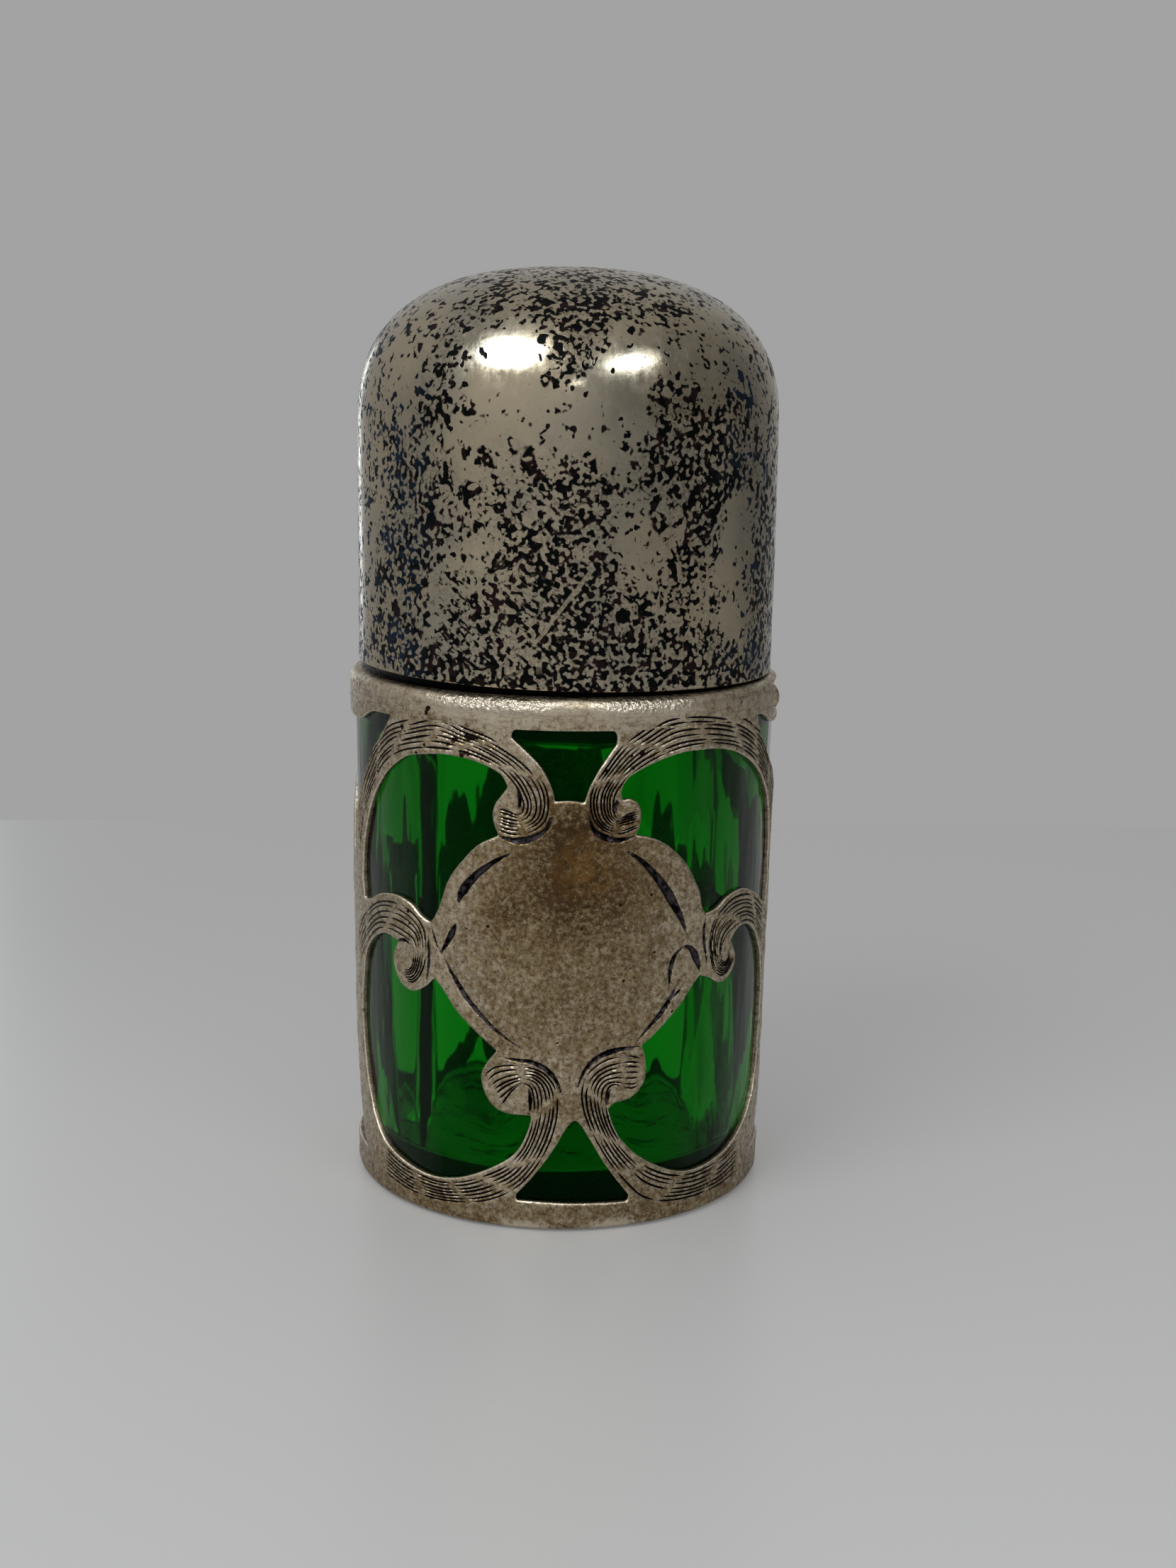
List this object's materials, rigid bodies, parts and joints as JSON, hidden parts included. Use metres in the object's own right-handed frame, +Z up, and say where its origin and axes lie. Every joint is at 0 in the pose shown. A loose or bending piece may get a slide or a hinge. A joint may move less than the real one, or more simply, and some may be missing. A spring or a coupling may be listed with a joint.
{
  "type": "scent bottle",
  "caption": "Round pocket scent bottle: green glass in a pierced silver overlay with a blank cartouche, domed hinged silver cap and ground glass stopper.",
  "frame": {"origin": "centre of the flat glass base, on the surface the bottle stands on", "axes": "+Z up through the neck and cap, -Y towards the front panel, +X towards the hinge"},
  "size_m": [0.0272, 0.0272, 0.057],
  "materials": {
    "green_glass": "clear saturated green, polished",
    "worn_silver": "worn silver with a warm brownish patina, engraved and pitted",
    "tarnished_silver": "worn silver with dense blue-black and brown tarnish speckles",
    "cement": "matte"
  },
  "bodies": {
    "bottle": {"glass_bottle": "green_glass", "silver_overlay": "worn_silver", "mount_cement": "cement", "collar_ring": "worn_silver", "bezel_ring": "worn_silver", "collar_knuckle_1": "worn_silver", "collar_knuckle_3": "worn_silver", "collar_knuckle_5": "worn_silver", "hinge_pin": "worn_silver"},
    "cap": {"cap_shell": "tarnished_silver", "cap_knuckle_2": "worn_silver", "cap_knuckle_4": "worn_silver"},
    "stopper": {"glass_stopper": "green_glass"}
  },
  "joints": [
    {"name": "cap_hinge", "type": "hinge", "parent": "bottle", "child": "cap", "pos_m": [0.0121, 0, 0.0313], "axis": [0, 1, 0], "range_deg": [0, 95]},
    {"name": "stopper_lift", "type": "slide", "parent": "bottle", "child": "stopper", "axis": [0, 0, 1], "range_m": [0, 0.0065]}
  ]
}
